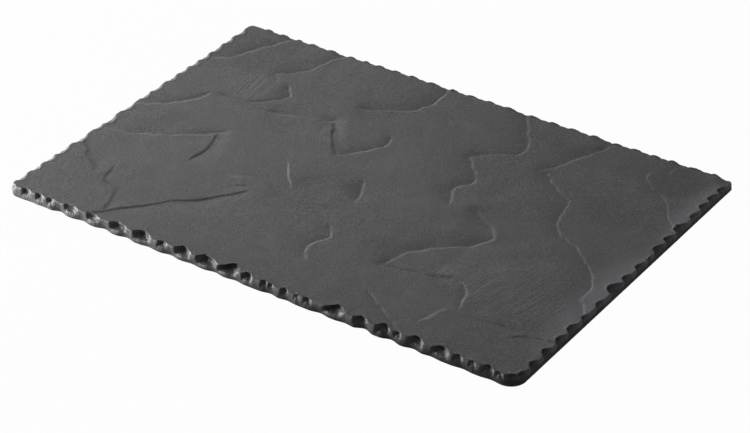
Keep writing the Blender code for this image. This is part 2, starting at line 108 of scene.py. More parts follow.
# Troughs of the front lip in millimetres: place and how far it draws in, and their half width
FRONT_TROUGHS = (
    (-135.5, 0.3), (-127, 0.3), (-117, 1.5), (-102.5, 1.2), (-88.5, 1.4), (-74.5, 1.3), (-60.5, 0.7),
    (-47, 1.0), (-34, 0.6), (-20, 1.0), (-7.5, 0.8), (13, 1.0), (23, 0.7), (42, 0.9), (56, 0.6),
    (66.5, 1.9), (81.5, 1.5), (94, 1.1), (104, 0.6), (121, 0.6), (136, 0.6),
)
TROUGH_REACH = 6.0
# Irregularity of the arris as a share of the bite, break of the chips, and unevenness of the rim, each with
# the size of its grains, and how fast the unevenness sets in
ARRIS_JITTER = 0.16
ARRIS_GRAIN = 2.4
BREAK_DEPTH = 0.4
BREAK_GRAIN = 1.4
RIM_UNEVEN = 0.14
RIM_GRAIN = 4.5
UNEVEN_ONSET = 2.0

# Sections of the rim, each two Bezier curves: share of the bite or ridge, and share of the thickness. The
# back side has shallow bevels with notches between them, and the left side's chips have short facets.
CHIP_SECTION = ((1, 1), (0.99, 0.72), (0.96, 0.54), (0.8, 0.5), (0.5, 0.46), (0, 0.48), (0, 0.1))
RIDGE_SECTION = ((1, 1), (0.5, 1), (0.08, 0.86), (0, 0.58), (0, 0.44), (0, 0.28), (0, 0.1))
BEVEL_SECTION = ((1, 1), (0.8, 0.95), (0.4, 0.91), (0.08, 0.9), (0.02, 0.88), (0, 0.5), (0, 0.1))
NOTCH_SECTION = ((1, 1), (0.99, 0.92), (0.98, 0.84), (0.92, 0.74), (0.7, 0.62), (0, 0.5), (0, 0.1))
FACET_SECTION = ((1, 1), (0.8, 0.97), (0.55, 0.93), (0.38, 0.88), (0.32, 0.78), (0, 0.6), (0, 0.1))
CHIP_SECTIONS = (CHIP_SECTION, CHIP_SECTION, BEVEL_SECTION, FACET_SECTION)
RIDGE_SECTIONS = (RIDGE_SECTION, RIDGE_SECTION, NOTCH_SECTION, RIDGE_SECTION)
# Steps along each of the two curves
SECTION_STEPS = (9, 6)
# Where the chip's section has its floor and its foot
SECTION_FLOOR = 0.5
SECTION_FOOT = 0.1
# Lip below the sections: inset in millimetres and share of the thickness
LIP_SECTION = ((0.07, 0.07), (0.24, 0.03), (0.55, 0.01), (1.3, 0.0))
# Distance from the arris to the ring inside it, and between stations along the outline
ARRIS_SUPPORT = 0.3
STATION_STEP = 0.62

# Painted shade in the hollows and on the lip, at both ends of each side
PAINTED_HOLLOW_SHADE = ((1.0, 1.0), (1.0, 1.0), (2.5, 2.5), (0.0, 0.0))
PAINTED_LIP_SHADE = ((0.0, 1.4), (1.3, 1.2), (0.5, 0.5), (1.3, 0.9))
# Painted highlight on the chips' facets and on the ridges between them, at both ends of each side
FACET_HIGHLIGHT = ((0.0, 0.0), (0.0, 0.0), (0.0, 0.0), (1.7, 1.7))
RIDGE_HIGHLIGHT = ((0.0, 0.0), (1.4, 1.4), (0.0, 0.0), (0.4, 0.4))
# How the painted shade of the hollows, that of the lip and the painted highlight change from ring to ring:
# ring, counted from the top face down, and share
HOLLOW_FADE = ((0, 0.0), (1, 0.3), (2, 1.0), (7, 1.0), (12, 0.0))
LIP_FADE = ((9, 0.0), (10, 0.1), (16, 1.0))
HIGHLIGHT_FADE = ((0, 0.0), (1, 0.7), (2, 1.0), (10, 1.0), (11, 0.0))
# Power that draws the painted shade into the middle of a hollow
HOLLOW_FOCUS = 2.0

# Change of the thickness with each millimetre to the right
THINNING = -0.002
# Broad swells of the top face: height, wavelength and heading in degrees
SWELLS = ((0.14, 190.0, 35.0), (0.10, 120.0, 110.0), (0.06, 75.0, 70.0))
# Ripples of the top face: height and grain
RIPPLES = ((0.10, 11.0), (0.05, 4.0))
# Upturn of the top face along the right side: where it starts and ends, and its rise
UPTURN_START = 126.0
UPTURN_END = 150.0
UPTURN = 0.2

# Ledges: reach of the slow climb beyond a riser, how its ends fade, and the step along its line
CLIMB_REACH = 45.0
END_FADE = 7.0
LINE_STEP = 1.0
# Band along the ledges where the mesh is finer
LEDGE_BAND = 2.5
# How far a riser wanders from its line, how much its height varies, and the grains of both
WANDER = 1.4
WANDER_GRAIN = 6.0
FLICKER = 0.5
FLICKER_GRAIN = 13.0
# Dip of a ledge from which its riser gets the full painted highlight, and grain of the highlight's patches
FULL_HIGHLIGHT = 0.8
HIGHLIGHT_GRAIN = 9.0


class Ledge(NamedTuple):
    """A cleft step in the top face, in millimetres, with its high ground on the left of its walk."""

    rise: float
    run: float
    dip: float
    dip_reach: float
    points: tuple


# Ledges that face the left side or the back, walked from the back to the front or to the left
LEFT_FACING = (
    Ledge(0.4, 3.0, 0.65, 6.0, (
        (-112, 112), (-118, 98), (-123, 90), (-128, 80), (-133, 70), (-136, 63), (-147, 57), (-160, 52))),
    Ledge(0.38, 1.8, 0.65, 6.0, (
        (-78, 112), (-83, 98), (-88, 90), (-90, 80), (-92, 74), (-98, 67), (-103, 62), (-100, 57),
        (-96, 53))),
    Ledge(0.6, 2.2, 0.85, 7.0, (
        (-20, 114), (-17, 95), (-16, 85), (-18, 75), (-23, 68), (-31, 63), (-40, 58), (-50, 54))),
    Ledge(0.6, 2.5, 0.95, 5.0, (
        (22, 112), (33, 95), (40, 84), (46, 75), (49, 68), (47, 61), (39, 56), (30, 48), (32, 43), (38, 37),
        (43, 31), (43, 25), (39, 18), (42, 10), (46, 2))),
    Ledge(0.55, 2.6, 0.95, 6.0, (
        (90, 114), (84, 97), (80, 86), (76, 76), (71, 64), (66, 56), (62, 50))),
    Ledge(0.5, 1.7, 0.65, 4.0, (
        (63, 60), (68, 56), (74, 51), (81, 45), (89, 41), (94, 36), (95, 28), (98, 18), (105, 11), (114, 7),
        (121, 2), (131, -7), (138, -15), (140.5, -22), (141.5, -30), (147, -38), (158, -50))),
    Ledge(0.35, 1.5, 0.35, 4.0, (
        (124, 114), (122, 95), (119, 87), (112, 83), (113, 78), (118, 73), (124, 69), (131, 65), (137, 57),
        (143, 49), (158, 34))),
    Ledge(0.5, 1.6, 0.65, 3.6, (
        (-95, 58), (-87, 52), (-84, 47), (-85, 43), (-89, 37), (-96, 31), (-104, 29), (-114, 28),
        (-122, 28))),
    Ledge(0.5, 2.6, 0.8, 6.0, ((-42, 42), (-52, 37), (-62, 34), (-75, 30), (-88, 27))),
    Ledge(0.55, 1.7, 0.8, 5.0, (
        (-17, 44), (-13, 37), (-13, 32), (-16, 27), (-20, 20), (-27, 13), (-33, 9))),
    Ledge(0.5, 3.0, 0.7, 6.0, (
        (-122, 30), (-122, 23), (-126, 15), (-132, 7), (-140, 1), (-152, -6), (-164, -12))),
    Ledge(0.55, 3.2, 0.9, 8.0, (
        (-86, 2), (-93, -5), (-99, -10), (-107, -15), (-116, -21), (-126, -26), (-140, -30), (-162, -36))),
    Ledge(0.5, 1.2, 0.1, 3.0, ((-46, -5), (-42, -11), (-38, -16), (-34, -21), (-26, -28))),
    Ledge(0.6, 1.8, 0.85, 4.0, ((-6, 2), (-1, -4), (2, -10), (4, -16), (6, -22))),
    Ledge(0.5, 1.8, 0.5, 5.0, ((4, -40), (9, -45), (13, -51), (11, -57), (9, -63), (12, -69), (17, -76))),
    Ledge(0.65, 2.9, 1.15, 8.0, (
        (54, 10), (62, 5), (71, 0), (77, -5), (79, -11), (74, -20), (64, -28), (55, -37), (50, -46),
        (48, -54), (46, -62))),
    Ledge(0.5, 1.4, 0.3, 3.0, (
        (70, -50), (78, -49), (88, -49), (93, -53), (95, -59), (98, -65), (101, -71))),
    Ledge(0.35, 2.6, 0.2, 5.0, ((95, -68), (92, -74), (90, -81), (87, -90))),
    Ledge(0.4, 1.2, 0.4, 2.0, ((52, -76), (62, -83), (70, -88), (78, -93), (87, -99), (96, -105))),
    Ledge(0.25, 1.4, 0.1, 3.0, ((-28, -34), (-40, -30), (-50, -29), (-58, -32), (-66, -37))),
)
# Ledges that face the right side or the front, walked from the front to the back or to the right
RIGHT_FACING = (
    Ledge(0.75, 1.2, 0.8, 4.0, ((-28, 10), (-31, 14), (-36, 18), (-41, 25), (-46, 32), (-50, 39))),
    Ledge(0.55, 1.6, 0.5, 4.0, ((-89, -36), (-88, -28), (-87, -20), (-89, -13), (-92, -6), (-94, 0))),
    Ledge(0.35, 1.4, 0.4, 8.0, (
        (-112, -110), (-97, -97), (-90, -89), (-84, -82), (-76, -74), (-72, -68), (-63, -61), (-56, -53),
        (-48, -43), (-43, -37))),
    Ledge(0.6, 2.0, 0.5, 5.0, ((-120, -69), (-128, -62), (-135, -56), (-142, -50), (-148, -45))),
    Ledge(0.4, 1.4, 0.4, 4.0, (
        (-93, -95), (-96, -87), (-98, -81), (-102, -75), (-110, -72), (-114, -69), (-115, -63),
        (-118, -56))),
    Ledge(0.35, 2.2, 0.4, 5.0, ((44, -57), (54, -55), (65, -53), (76, -51), (84, -50))),
    Ledge(0.3, 1.4, 0.3, 4.0, ((98, -72), (106, -71), (118, -69), (128, -67), (134, -66))),
    Ledge(0.3, 1.2, 0.3, 4.0, ((126, -78), (130, -73), (138, -68.5), (146, -66.5), (160, -64))),
    Ledge(0.3, 1.2, 0.2, 3.0, ((-58, -42), (-51, -37), (-44, -34))),
    Ledge(1.2, 6.0, 1.2, 20.0, ((160, 80), (147, 94), (134, 108))),
    Ledge(0.15, 1.0, 0.15, 1.5, ((-21, -38), (-7, -30.5), (7, -23))),
    Ledge(0.15, 1.0, 0.15, 1.5, ((-20, -40.5), (-6, -33), (8, -25.5))),
)
LEDGES = LEFT_FACING + RIGHT_FACING

# Room between the rim and the points of the top face, as a share of their spacing
TOP_CLEARANCE = 0.6
# Points of the underside: spacing, and room to the rim
BOTTOM_SPACING = 12.0
BOTTOM_CLEARANCE = 4.0
# Band along the rim where points are tested against it, and the number of blocks this is done in
RIM_BAND = 12.0
RIM_BLOCKS = 20
# Blender's fill of an outline: the choice that keeps only triangles inside it, and its tolerance
FILL_INSIDE = 1
FILL_TOLERANCE = 1e-6
# Map for baking: room for the folded-out rim in millimetres, and scale and place of the underside
SKIRT = 14.0
SOLE_SCALE = 0.4
SOLE_PLACE = (0.02, 0.72)

# Shares of a foot's radius that its side tapers and its dish reaches, and share of its rounding at the top
FOOT_TAPER = 0.04
DISH_REACH = 0.62
FOOT_EDGE = 0.15
# Share of its height by which a bonding disc is squeezed out
BULGE = 0.35
# Points of a foot's top edge, rounding and dish, and of a disc's bulge
EDGE_POINTS = 4
ROUND_POINTS = 8
DISH_POINTS = 7
BULGE_POINTS = 9
# Distance within which points of a turned piece are joined, and angle from which its edges look sharp
WELD = 0.001 * MM
SHARP_ANGLE = math.radians(50.0)

# Patches of fine striations along Y, of painted sheen along the right side, and of painted light and shade:
# middle, half sizes and strength, and the share of the half sizes out to which a patch is even
STRIATIONS = ((114, -42, 36, 30, 0.95), (-104, 42, 18, 22, 0.8))
PAINTED_SHEEN = ((153, -28, 22, 66, 0.85), (153, 62, 16, 44, 0.8))
# Painted light where the strength is above nought, painted shade where it is below
PAINTED_LIGHT_AND_SHADE = (
    (0, -20, 150, 95, 0.18), (88, -78, 30, 24, 0.22), (-130, 80, 40, 40, -0.35), (90, 88, 60, 22, -0.12),
    (128, 82, 20, 20, -0.40), (116, 40, 22, 16, -0.25), (-6, -9, 8, 6, -0.35),
)
PATCH_CORE = 0.4
# Noise in the ceramic: grains in each millimetre and detail, and the middle of what it gives
MOTTLE = (0.05, 3.0)
GRAIN = (0.5, 3.0)
FINE_GRAIN = (1.5, 3.0)
BREAKS = (0.9, 4.0)
SPECKS = (1.7, 1.0)
NOISE_MIDDLE = 0.5
# Levels of the noise between which a speck and a smudge come up
SPECK_LEVELS = (0.7, 0.78)
SMUDGE_LEVELS = (0.54, 0.72)
# Smudges: grains in each millimetre of x, y and z, and detail
SMUDGE_GRAINS = (0.05, 0.08, 0.0)
SMUDGE_DETAIL = 4.0
# Striations: grains in each millimetre of x and y, detail, and how much they fan out to the back
STREAKS_ACROSS = 1.9
STREAKS_ALONG = 0.03
STREAK_DETAIL = 2.0
STREAK_FAN = 0.0015
# Paling of the ceramic by each pattern, the level they start from, and paling by the painted highlight
FINE_PALE = 3.8
GRAIN_PALE = 0.4
MOTTLE_PALE = 0.8
SMUDGE_PALE = 0.2
STREAK_PALE = 2.5
PALE_START = 2.0
HIGHLIGHT_PALE = 0.4
# Change of the roughness with the mottling, and height of each pattern in millimetres
MOTTLE_ROUGHNESS = 0.12
FINE_HEIGHT = 0.12
GRAIN_HEIGHT = 0.15
STREAK_HEIGHT = 0.6
BREAK_HEIGHT = 0.3
# Silicone: noise, paleness of its grains, roughness and its change with them, and their height
SILICONE_GRAIN = (3.0, 3.0)
SILICONE_PALE = 1.8
SILICONE_ROUGHNESS = (0.6, 0.2)
SILICONE_HEIGHT = 0.02
# Adhesive foam: cells in each millimetre, their shade, roughness and its change with them, and their height
FOAM_CELLS = 4.0
FOAM_SHADE = 0.8
FOAM_ROUGHNESS = (0.45, 0.2)
FOAM_HEIGHT = 0.03

# Lights: azimuth from behind the plate to its right, elevation, distance, size and radiance
LIGHTS = (
    ("back_softbox", -34.0, 42.0, 2.0, (2.2, 1.0), 1.3),
    ("back_left_strip", -58.0, 11.0, 1.0, (0.8, 0.12), 6.0),
    ("left_softbox", -98.0, 15.0, 0.6, (0.3, 0.2), 5.2),
    ("lip_strip", -116.0, 3.5, 0.5, (0.3, 0.04), 128.0),
    ("right_fill", 52.0, 7.0, 0.7, (0.5, 0.1), 1.2),
)
WHITE = (1.0, 1.0, 1.0, 1.0)
FLOOR_SIDE = 12.0
FLOOR_COLOUR = (0.4, 0.4, 0.4, 1.0)
# Shares of plain white: floor seen straight on, and floor and backdrop seen in gloss or through glass
FLOOR_WHITE = 0.98
FLOOR_GLOSS = 0.1
WORLD_GLOSS = 0.1

# What the colours that a user can change have in common
COLOUR = {"size": 3, "subtype": "COLOR", "min": 0.0, "max": 1.0}


class PlateSizes(bpy.types.PropertyGroup):
    """Sizes of the slab and its feet, in metres."""

    thickness: FloatProperty(
        name="Thickness", description="Slab, without its relief", default=6.1 * MM, unit="LENGTH")
    corner_radii: FloatVectorProperty(
        name="Corner radii", description="Front right, back right, back left and front left corner in plan",
        size=4, default=(8 * MM, 2.6 * MM, 4 * MM, 4.5 * MM), unit="LENGTH")
    spacing: FloatProperty(
        name="Spacing", description="Between points of the top face", default=1.4 * MM, unit="LENGTH")
    ledge_spacing: FloatProperty(
        name="Ledge spacing", description="Between points along a ledge", default=0.7 * MM, unit="LENGTH")
    foot_round: FloatProperty(
        name="Foot rounding", description="Rounded lower edge of a foot", default=0.7 * MM, unit="LENGTH")
    foot_dish: FloatProperty(
        name="Foot dish", description="Hollow in the sole of a foot", default=0.25 * MM, unit="LENGTH")
    foot_sides: IntProperty(name="Foot sides", description="Steps of a turned foot", default=72)


class PlateFinish(bpy.types.PropertyGroup):
    """Colours and gloss of the ceramic, the feet and their discs."""

    ceramic: FloatVectorProperty(
        name="Ceramic", description="Colour of the slab", default=(0.034, 0.034, 0.035), **COLOUR)
    # Pale end of the mottling and of the patches of painted light
    ceramic_pale: FloatVectorProperty(
        name="Pale ceramic", description="Mottling and painted light of the slab", default=(0.111, 0.111, 0.112), **COLOUR)
    # Painted sheen and painted highlight: the paler, bluish colour on lit edges, risers and along the right
    # side
    ceramic_painted_sheen: FloatVectorProperty(
        name="Ceramic painted sheen", description="Painted sheen and highlights", default=(0.160, 0.160, 0.174), **COLOUR)
    # Painted shade: the dark colour put into the hollows of the chips and on the lower lip
    ceramic_painted_shade: FloatVectorProperty(
        name="Ceramic painted shade", description="Painted shade in hollows and lip", default=(0.020, 0.020, 0.0205), **COLOUR)
    speck: FloatVectorProperty(
        name="Specks", description="Colour of the pale grains", default=(0.25, 0.25, 0.25), **COLOUR)
    roughness: FloatProperty(name="Roughness", description="Of the slab", default=0.58, min=0.0, max=1.0)
    silicone: FloatVectorProperty(
        name="Silicone", description="Colour of the feet", default=(0.015, 0.015, 0.016), **COLOUR)
    adhesive: FloatVectorProperty(
        name="Adhesive", description="Colour of the bonding discs", default=(0.55, 0.55, 0.52), **COLOUR)


class StageSettings(bpy.types.PropertyGroup):
    """Camera and light of the studio."""

    azimuth: FloatProperty(
        name="Azimuth", description="Turn to the right", default=math.radians(36.014), subtype="ANGLE")
    elevation: FloatProperty(
        name="Elevation", description="Height angle", default=math.radians(32.721), subtype="ANGLE")
    roll: FloatProperty(name="Roll", description="Tilt", default=math.radians(-1.672), subtype="ANGLE")
    distance: FloatProperty(
        name="Distance", description="Camera to the plate", default=1237.7 * MM, unit="LENGTH")
    focal: FloatProperty(name="Focal length", description="In pixels of the photograph", default=2527.3)
    aim_x: FloatProperty(
        name="Aim X", description="Point in the picture's middle", default=15.37 * MM, unit="LENGTH")
    aim_y: FloatProperty(
        name="Aim Y", description="Point in the picture's middle", default=-17.14 * MM, unit="LENGTH")
    ambient: FloatProperty(name="Ambient", description="Light from all around", default=0.17, min=0.0)


def smoothstep(share):
    """Eased rise from 0 to 1."""
    share = np.clip(share, 0.0, 1.0)
    return share * share * (3.0 - 2.0 * share)


def blend(low, high, share):
    """A value between two, by a share."""
    return (1.0 - share) * low + share * high


def grainy(places, grain):
    """Smooth noise between about -1 and 1 at places, with grains of a size."""
    return np.array([noise.noise(Vector(place) / grain) for place in places])


def smooth_line(points):
    """Points about LINE_STEP apart on a smooth curve through the given ones."""
    knots = [Vector(point) for point in points]
    knots = [2 * knots[0] - knots[1], *knots, 2 * knots[-1] - knots[-2]]
    line = []
    for before, start, end, after in zip(knots, knots[1:], knots[2:], knots[3:]):
        steps = max(2, round((end - start).length / LINE_STEP)) + 1
        # A handle is a sixth of the way between the neighbours of its point
        leaving = start + (end - before) / 6
        arriving = end - (after - start) / 6
        line += interpolate_bezier(start, leaving, arriving, end, steps)[:-1]
    return np.array([tuple(point[:2]) for point in line])


def around(line, spots, reach):
    """Which of the spots lie within reach of the box round a line."""
    return ((spots > line.min(axis=0) - reach) & (spots < line.max(axis=0) + reach)).all(axis=1)


def ledge_relief(ledge, spots, wander, flicker):
    """Height of a ledge's dip, riser and slow climb at the spots, and how far they lie on its riser."""
    line = smooth_line(ledge.points)
    ways = np.gradient(line, axis=0)
    near = around(line, spots, CLIMB_REACH)
    height = np.zeros(len(spots))
    riser = np.zeros(len(spots))
    spots = spots[near]
    apart = (spots[:, :1] - line[:, 0]) ** 2 + (spots[:, 1:] - line[:, 1]) ** 2
    nearest = np.argmin(apart, axis=1)
    offset = spots - line[nearest]
    way = ways[nearest]
    turn = way[:, 0] * offset[:, 1] - way[:, 1] * offset[:, 0]
    away = np.hypot(offset[:, 0], offset[:, 1])
    high = smoothstep(0.5 + (np.copysign(away, turn) + wander[near]) / ledge.run)
    dip = ledge.dip * (1.0 - high) * np.exp(-away / ledge.dip_reach)
    climb = (ledge.dip - ledge.rise) * high * smoothstep(1.0 - away / CLIMB_REACH)
    to_end = np.minimum(nearest, len(line) - 1 - nearest) * LINE_STEP
    strength = flicker[near] * smoothstep(to_end / (END_FADE + away))
    height[near] = -strength * (dip + climb)
    # The share of the riser is 1 halfway up
    riser[near] = strength * 4.0 * high * (1.0 - high)
    return height, riser


def by_ledges(spots):
    """Which of the spots lie close to a ledge."""
    close = np.zeros(len(spots), dtype=bool)
    for ledge in LEDGES:
        line = smooth_line(ledge.points)
        near = around(line, spots, LEDGE_BAND)
        apart = np.hypot(spots[near][:, :1] - line[:, 0], spots[near][:, 1:] - line[:, 1])
        close[near] |= apart.min(axis=1) < LEDGE_BAND
    return close


def top_relief(spots, thickness):
    """Height of the cleft top face over the underside, and a painted highlight on the risers facing the
    light.
    """
    height = thickness + THINNING * spots[:, 0]
    for swell, wavelength, heading in SWELLS:
        angle = math.radians(heading)
        along = spots @ np.array((math.cos(angle), math.sin(angle)))
        height += swell * np.sin(2.0 * math.pi * along / wavelength)
    upturn = np.clip((spots[:, 0] - UPTURN_START) / (UPTURN_END - UPTURN_START), 0.0, 1.0)
    height += UPTURN * upturn ** 2
    flat = np.column_stack((spots, np.zeros(len(spots))))
    for ripple, grain in RIPPLES:
        height += ripple * grainy(flat, grain)
    wander = WANDER * grainy(flat, WANDER_GRAIN)
    flicker = 1.0 + FLICKER * grainy(flat, FLICKER_GRAIN)
    # Painted highlight: the risers that face the light from the left are paled, in patches
    highlight_patches = smoothstep(0.5 + grainy(flat, HIGHLIGHT_GRAIN))
    painted_highlight = np.zeros(len(spots))
    for ledge in LEFT_FACING:
        step, riser = ledge_relief(ledge, spots, wander, flicker)
        height += step
        painted_highlight = np.maximum(painted_highlight, highlight_patches * riser * min(1.0, ledge.dip / FULL_HIGHLIGHT))
    for ledge in RIGHT_FACING:
        height += ledge_relief(ledge, spots, wander, flicker)[0]
    return height, painted_highlight


class Outline:
    """The rounded rectangle of the slab, walked from the left end of its front side, in millimetres."""

    def __init__(self, length, width, radii):
        front_right, back_right, back_left, front_left = radii
        x = length / 2.0
        y = width / 2.0
        self.radii = radii
        self.starts = (
            (-x + front_left, -y), (x, -y + front_right), (x - back_right, y), (-x, y - back_left))
        self.headings = ((1, 0), (0, 1), (-1, 0), (0, -1))
        self.straights = (
            length - front_left - front_right, width - front_right - back_right,
            length - back_right - back_left, width - back_left - front_left)
        lengths = [straight + radius * math.pi / 2.0 for straight, radius in zip(self.straights, radii)]
        self.side_starts = [sum(lengths[:side]) for side in range(len(lengths))]
        self.total = sum(lengths)
        count = round(self.total / STATION_STEP)
        self.stations = np.arange(count) * self.total / count

    def points(self):
        """Points and outward directions at the stations."""
        points = np.zeros((len(self.stations), 2))
        outwards = np.zeros((len(self.stations), 2))
        sides = np.searchsorted(self.side_starts, self.stations, side="right") - 1
        for side, radius in enumerate(self.radii):
            here = sides == side
            along = self.stations[here] - self.side_starts[side]
            turn = np.clip((along - self.straights[side]) / radius, 0.0, None)[:, None]
            heading = np.array(self.headings[side])
            outward = np.array((heading[1], -heading[0]))
            outwards[here] = outward * np.cos(turn) + heading * np.sin(turn)
            reach = np.clip(along, 0.0, self.straights[side])[:, None]
            centre = self.starts[side] + heading * reach - outward * radius
            points[here] = centre + outwards[here] * radius
        return points, outwards

    def along_sides(self, values, distances):
        """A value that is given at both ends of each side, at distances along the outline."""
        knots = []
        for start, straight in zip(self.side_starts, self.straights):
            knots += [start, start + straight]
        return np.interp(distances, knots, np.ravel(values), period=self.total)

    def along(self, side, place):
        """Distance along the outline of a place on a side: x on the long sides, y on the short ones."""
        axis = 0 if self.headings[side][0] else 1
        return self.side_starts[side] + (place - self.starts[side][axis]) * self.headings[side][axis]

    def side_shares(self):
        """How far each side holds at the stations."""
        return [self.along_sides(np.repeat(side, 2), self.stations) for side in np.eye(len(self.radii))]

    def chips(self):
        """Distance along the outline, width, bite and lean, if any, of each chip."""
        for side, chips in enumerate(CHIPS):
            for middle, width, bite, *lean in chips:
                yield self.along(side, middle), width, bite, sum(lean)


def chip_height(share, floors):
    """A height of the chip's section, fitted to the floors of the chips."""
    upper = 1.0 - (1.0 - share) * (1.0 - floors) / (1.0 - SECTION_FLOOR)
    lower = SECTION_FOOT + (share - SECTION_FOOT) * (floors - SECTION_FOOT) / (SECTION_FLOOR - SECTION_FOOT)
    return np.where(share >= SECTION_FLOOR, upper, lower)


def section(points):
    """Steps along a section made of Bezier curves that share their ends."""
    steps = []
    for index, count in enumerate(SECTION_STEPS):
        curve = [Vector((*point, 0.0)) for point in points[3 * index:3 * index + 4]]
        steps += interpolate_bezier(*curve, count + 1)[:-1]
    steps.append(Vector((*points[-1], 0.0)))
    return np.array([tuple(step[:2]) for step in steps])


class RimShape:
    """How the chips shape the rim at the stations of its outline."""

    def __init__(self, outline):
        self.outline = outline
        self.stations = outline.stations
        self.count = len(self.stations)
        self.points, self.outwards = outline.points()
        self.ridges = self.along_sides(RIDGES)
        self.floor_tops = self.along_sides(FLOOR_TOPS)
        self.side_shares = outline.side_shares()
        flat = np.column_stack((self.points, np.zeros(self.count)))
        self.jitter = 1.0 + ARRIS_JITTER * grainy(flat, ARRIS_GRAIN)
        self.lips = np.zeros(self.count)
        for place, draw in FRONT_TROUGHS:
            offset = np.abs(self.stations - outline.along(FRONT, place))
            self.lips = np.maximum(self.lips, draw * smoothstep(1.0 - offset / TROUGH_REACH))

    def along_sides(self, values):
        """A value that is given at both ends of each side, at the stations."""
        return self.outline.along_sides(values, self.stations)

    def from_sides(self, values):
        """A value of each side, blended at the corners."""
        return sum(share * value for share, value in zip(self.side_shares, values))

    def inset(self, insets):
        """Points of the outline, drawn in."""
        return self.points - self.outwards * insets[:, None]

    def hollows(self, height):
        """Hollowness, bite and floor at a height, as a share of the thickness."""
        hollows = np.zeros(self.count)
        bites = np.zeros(self.count)
        floors = np.full(self.count, SECTION_FLOOR)
        half = self.outline.total / 2.0
        for middle, width, bite, lean in self.outline.chips():
            deepest = self.outline.along_sides(DEEPEST, middle)
            power = self.outline.along_sides(HOLLOW_POWERS, middle)
            place = middle - lean * (1.0 - height) + deepest * width / 2.0
            offset = (self.stations - place + half) % self.outline.total - half
            reach = (1.0 - deepest * np.sign(offset)) * width / 2.0
            hollow = np.clip(1.0 - (offset / reach) ** 2, 0.0, 1.0) ** power
            deeper = hollow > hollows
            bites[deeper] = bite
            floors[deeper] = self.floor_tops[deeper] - FLOOR_FALL * width
            hollows = np.maximum(hollows, hollow)
        return hollows, bites, floors

    def wall(self, chip, ridge):
        """Plan, height as a share of the thickness, and hollowness of a ring between arris and lip."""
        chip_insets, chip_shares = (self.from_sides(values) for values in chip.T)
        ridge_insets, ridge_shares = (self.from_sides(values) for values in ridge.T)
        hollows, bites, floors = self.hollows(chip_shares)
        shares = blend(ridge_shares, chip_height(chip_shares, floors), hollows)
        insets = blend(self.ridges * ridge_insets, bites * self.jitter * chip_insets, hollows)
        insets += self.lips * (1.0 - shares ** 2)
        return self.inset(insets), shares, hollows

    def roughen(self, ring, hollows, fade):
        """Breaks up the chips of a ring and makes all of it uneven, less towards the arris and the lip."""
        rough = fade * BREAK_DEPTH * hollows * grainy(ring, BREAK_GRAIN)
        rough += min(1.0, UNEVEN_ONSET * fade) * RIM_UNEVEN * grainy(ring, RIM_GRAIN)
        ring[:, :2] += self.outwards * rough[:, None]

    def rings(self, thickness):
        """Rings from the top face over the arris, the chips and the lip, and their hollowness."""
        hollows, bites, _ = self.hollows(1.0)
        insets = hollows * bites * self.jitter + (1.0 - hollows) * self.ridges
        tops = top_relief(self.inset(insets), thickness)[0]
        support = self.inset(insets + ARRIS_SUPPORT)
        rings = [np.column_stack((support, top_relief(support, thickness)[0]))]
        chipped = [hollows]
        chips = np.array([section(points) for points in CHIP_SECTIONS])
        ridges = np.array([section(points) for points in RIDGE_SECTIONS])
        last = chips.shape[1] - 1
        for step in range(last + 1):
            plan, shares, hollows = self.wall(chips[:, step], ridges[:, step])
            ring = np.column_stack((plan, tops * shares))
            self.roughen(ring, hollows, math.sin(math.pi * step / last))
            rings.append(ring)
            chipped.append(hollows)
        for inset, share in LIP_SECTION:
            rings.append(np.column_stack((self.inset(self.lips + inset), tops * share)))
            chipped.append(np.zeros(self.count))
        return np.array(rings), np.array(chipped)


def grid_spots(size, spacing):
    """A triangular grid of points over the slab."""
    row_step = spacing * math.sqrt(3.0) / 2.0
    rows = np.arange(-size.y / 2.0, size.y / 2.0, row_step)
    columns = np.arange(-size.x / 2.0, size.x / 2.0, spacing)
    x, y = np.meshgrid(columns, rows)
    x = x + (np.arange(len(rows)) % 2 * spacing / 2.0)[:, None]
    return np.column_stack((x.ravel(), y.ravel()))


def inside_ring(spots, ring, outwards, clearance):
    """The spots that lie inside a closed ring and keep clear of it."""
    reach = np.abs(ring).max(axis=0)
    deep = (np.abs(spots) < reach - RIM_BAND).all(axis=1)
    kept = [spots[deep]]
    for block in np.array_split(spots[~deep], RIM_BLOCKS):
        apart = np.hypot(block[:, :1] - ring[:, 0], block[:, 1:] - ring[:, 1])
        nearest = apart.argmin(axis=1)
        outside = ((block - ring[nearest]) * outwards[nearest]).sum(axis=1)
        kept.append(block[(apart.min(axis=1) > clearance) & (outside < 0.0)])
    return np.vstack(kept)


def cap_faces(ring, spots):
    """Triangles between a closed ring and the spots inside it, by index into ring and spots together."""
    places = [Vector(spot) for spot in (*ring, *spots)]
    edges = [(index, (index + 1) % len(ring)) for index in range(len(ring))]
    points, _, faces, *_ = delaunay_2d_cdt(places, edges, [], FILL_INSIDE, FILL_TOLERANCE)
    if len(points) != len(places):
        raise RuntimeError("the face's outline crosses itself")
    return faces


